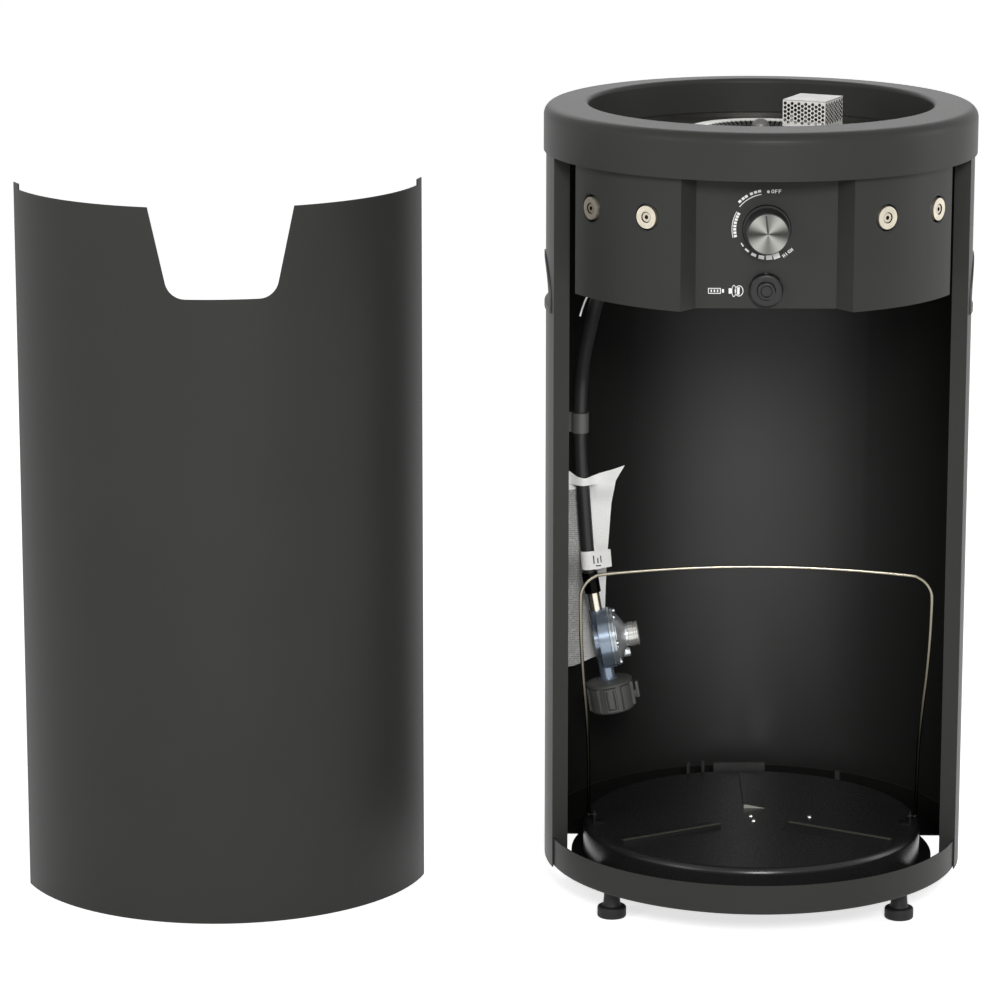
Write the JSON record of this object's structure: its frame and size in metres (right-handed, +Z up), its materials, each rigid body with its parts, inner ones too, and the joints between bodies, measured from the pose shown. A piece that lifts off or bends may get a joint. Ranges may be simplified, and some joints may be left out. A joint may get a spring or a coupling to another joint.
{
  "type": "gas fire column",
  "caption": "Free-standing round gas fire column with ring burner, control panel, bottle bay with hose and regulator, and a lift-off curved door standing beside it.",
  "frame": {"origin": "on the column's upright axis at the floor, in the plane of the feet's undersides", "axes": "+Z up, -Y is the front with the knob, -X is towards the door that stands beside the column"},
  "size_m": [0.8891, 0.4, 0.75],
  "materials": {
    "coat": "fine-textured anthracite powder coat",
    "black_coat": "matt black powder coat",
    "stainless": "brushed stainless",
    "zinc_plate": "zinc plated",
    "pan_steel": "dull dark stainless",
    "brass": "machined",
    "bright_nickel": "bright nickel plated",
    "die_cast": "die cast, blue-grey lacquer",
    "black_plastic": "satin moulded",
    "rubber": "smooth black",
    "ceramic": "glazed white",
    "battery_can": "plain printed can",
    "paper": "matt"
  },
  "bodies": {
    "column": {"column_shell": "coat", "handhold_trims": "black_plastic", "top_ring": "coat", "ring_brackets": "zinc_plate", "ring_screws": "zinc_plate", "burner_pan": "pan_steel", "heat_shield": "stainless", "ring_burner": "stainless", "dome_nut": "stainless", "mixer_tube": "stainless", "injector": "brass", "feed_tube": "stainless", "tube_nuts": "brass", "electrode_cage": "stainless", "spark_electrode": "ceramic", "thermocouple": "stainless", "ignition_lead": "rubber", "control_panel": "coat", "panel_screws": "zinc_plate", "magnet_cups": "black_plastic", "door_magnets": "bright_nickel", "magnet_screws": "zinc_plate", "gas_valve": "brass", "valve_nut": "zinc_plate", "knob_bezel": "black_plastic", "igniter_body": "black_plastic", "igniter_nut": "black_plastic", "igniter_battery": "battery_can", "battery_spring": "stainless", "base_pan": "coat", "base_screws": "black_coat", "bottle_tray": "black_coat", "tray_rivets": "zinc_plate", "tray_stops": "coat", "bail_ears": "black_coat", "foot_nuts": "zinc_plate", "hose_union": "brass", "gas_hose": "rubber", "hose_clip": "black_coat", "hose_crimp": "zinc_plate", "regulator_body": "die_cast", "regulator_cover": "die_cast", "paper_tag": "paper"},
    "door_carrier": {"door_buffer": "rubber"},
    "door": {"door_panel": "coat", "door_fittings": "coat"},
    "bail": {"bottle_bail": "bright_nickel"},
    "valve_plug": {"valve_plug": "brass", "valve_spring": "stainless"},
    "knob": {"valve_stem": "stainless", "control_knob": "black_plastic", "knob_face": "stainless"},
    "igniter_cap": {"igniter_cap": "black_plastic"},
    "igniter_button": {"igniter_button": "black_plastic"},
    "coupling_nut": {"coupling_nut": "black_plastic"},
    "air_shutter": {"air_shutter": "stainless"},
    "foot_front_left": {"foot_front_left": "rubber"},
    "foot_front_right": {"foot_front_right": "rubber"},
    "foot_back_left": {"foot_back_left": "rubber"},
    "foot_back_right": {"foot_back_right": "rubber"}
  },
  "joints": [
    {"name": "door_carry", "type": "hinge", "parent": "column", "child": "door_carrier", "pos_m": [-0.24451, -0.16257, 0.04885], "axis": [-0.0552, 0.0056, 0.9985], "range_deg": [0, 180]},
    {"name": "door_upright", "type": "hinge", "parent": "door_carrier", "child": "door", "pos_m": [-0.48903, -0.13764, 0.0352], "axis": [-0.0552, 0.0056, 0.9985], "range_deg": [-185.6, 0]},
    {"name": "bail_swing", "type": "hinge", "parent": "column", "child": "bail", "pos_m": [0, -0.016, 0.068], "axis": [-1, 0, 0], "range_deg": [-78, 8]},
    {"name": "knob_turn", "type": "hinge", "parent": "column", "child": "valve_plug", "pos_m": [0, -0.13, 0.657], "axis": [0, -1, 0], "range_deg": [0, 240]},
    {"name": "knob_push", "type": "slide", "parent": "valve_plug", "child": "knob", "axis": [0, 1, 0], "range_m": [0, 0.005], "stiffness_N_per_m": 900, "springref_m": -0.004, "deforming": ["valve_spring"]},
    {"name": "igniter_cap_turn", "type": "hinge", "parent": "column", "child": "igniter_cap", "pos_m": [0, -0.16, 0.6025], "axis": [0, -1, 0], "range_deg": [0, 60]},
    {"name": "igniter_push", "type": "slide", "parent": "column", "child": "igniter_button", "axis": [0, 1, 0], "range_m": [0, 0.004], "stiffness_N_per_m": 500, "springref_m": -0.003, "deforming": ["battery_spring"]},
    {"name": "coupling_nut_spin", "type": "hinge", "parent": "column", "child": "coupling_nut", "pos_m": [-0.13449, 0.04, 0.1725], "axis": [-0.1736, 0, 0.9848], "continuous": true},
    {"name": "air_shutter_turn", "type": "hinge", "parent": "column", "child": "air_shutter", "pos_m": [0, 0, 0.685], "axis": [0, 0, 1], "range_deg": [-25, 65]},
    {"name": "foot_front_left_turn", "type": "hinge", "parent": "column", "child": "foot_front_left", "pos_m": [-0.134, -0.115, 0.03], "axis": [0, 0, 1], "continuous": true},
    {"name": "foot_front_right_turn", "type": "hinge", "parent": "column", "child": "foot_front_right", "pos_m": [0.134, -0.115, 0.03], "axis": [0, 0, 1], "continuous": true},
    {"name": "foot_back_left_turn", "type": "hinge", "parent": "column", "child": "foot_back_left", "pos_m": [-0.134, 0.115, 0.03], "axis": [0, 0, 1], "continuous": true},
    {"name": "foot_back_right_turn", "type": "hinge", "parent": "column", "child": "foot_back_right", "pos_m": [0.134, 0.115, 0.03], "axis": [0, 0, 1], "continuous": true}
  ],
  "couplings": [
    {"joint": "door_upright", "follows": "door_carry", "ratio": -1.0306}
  ]
}
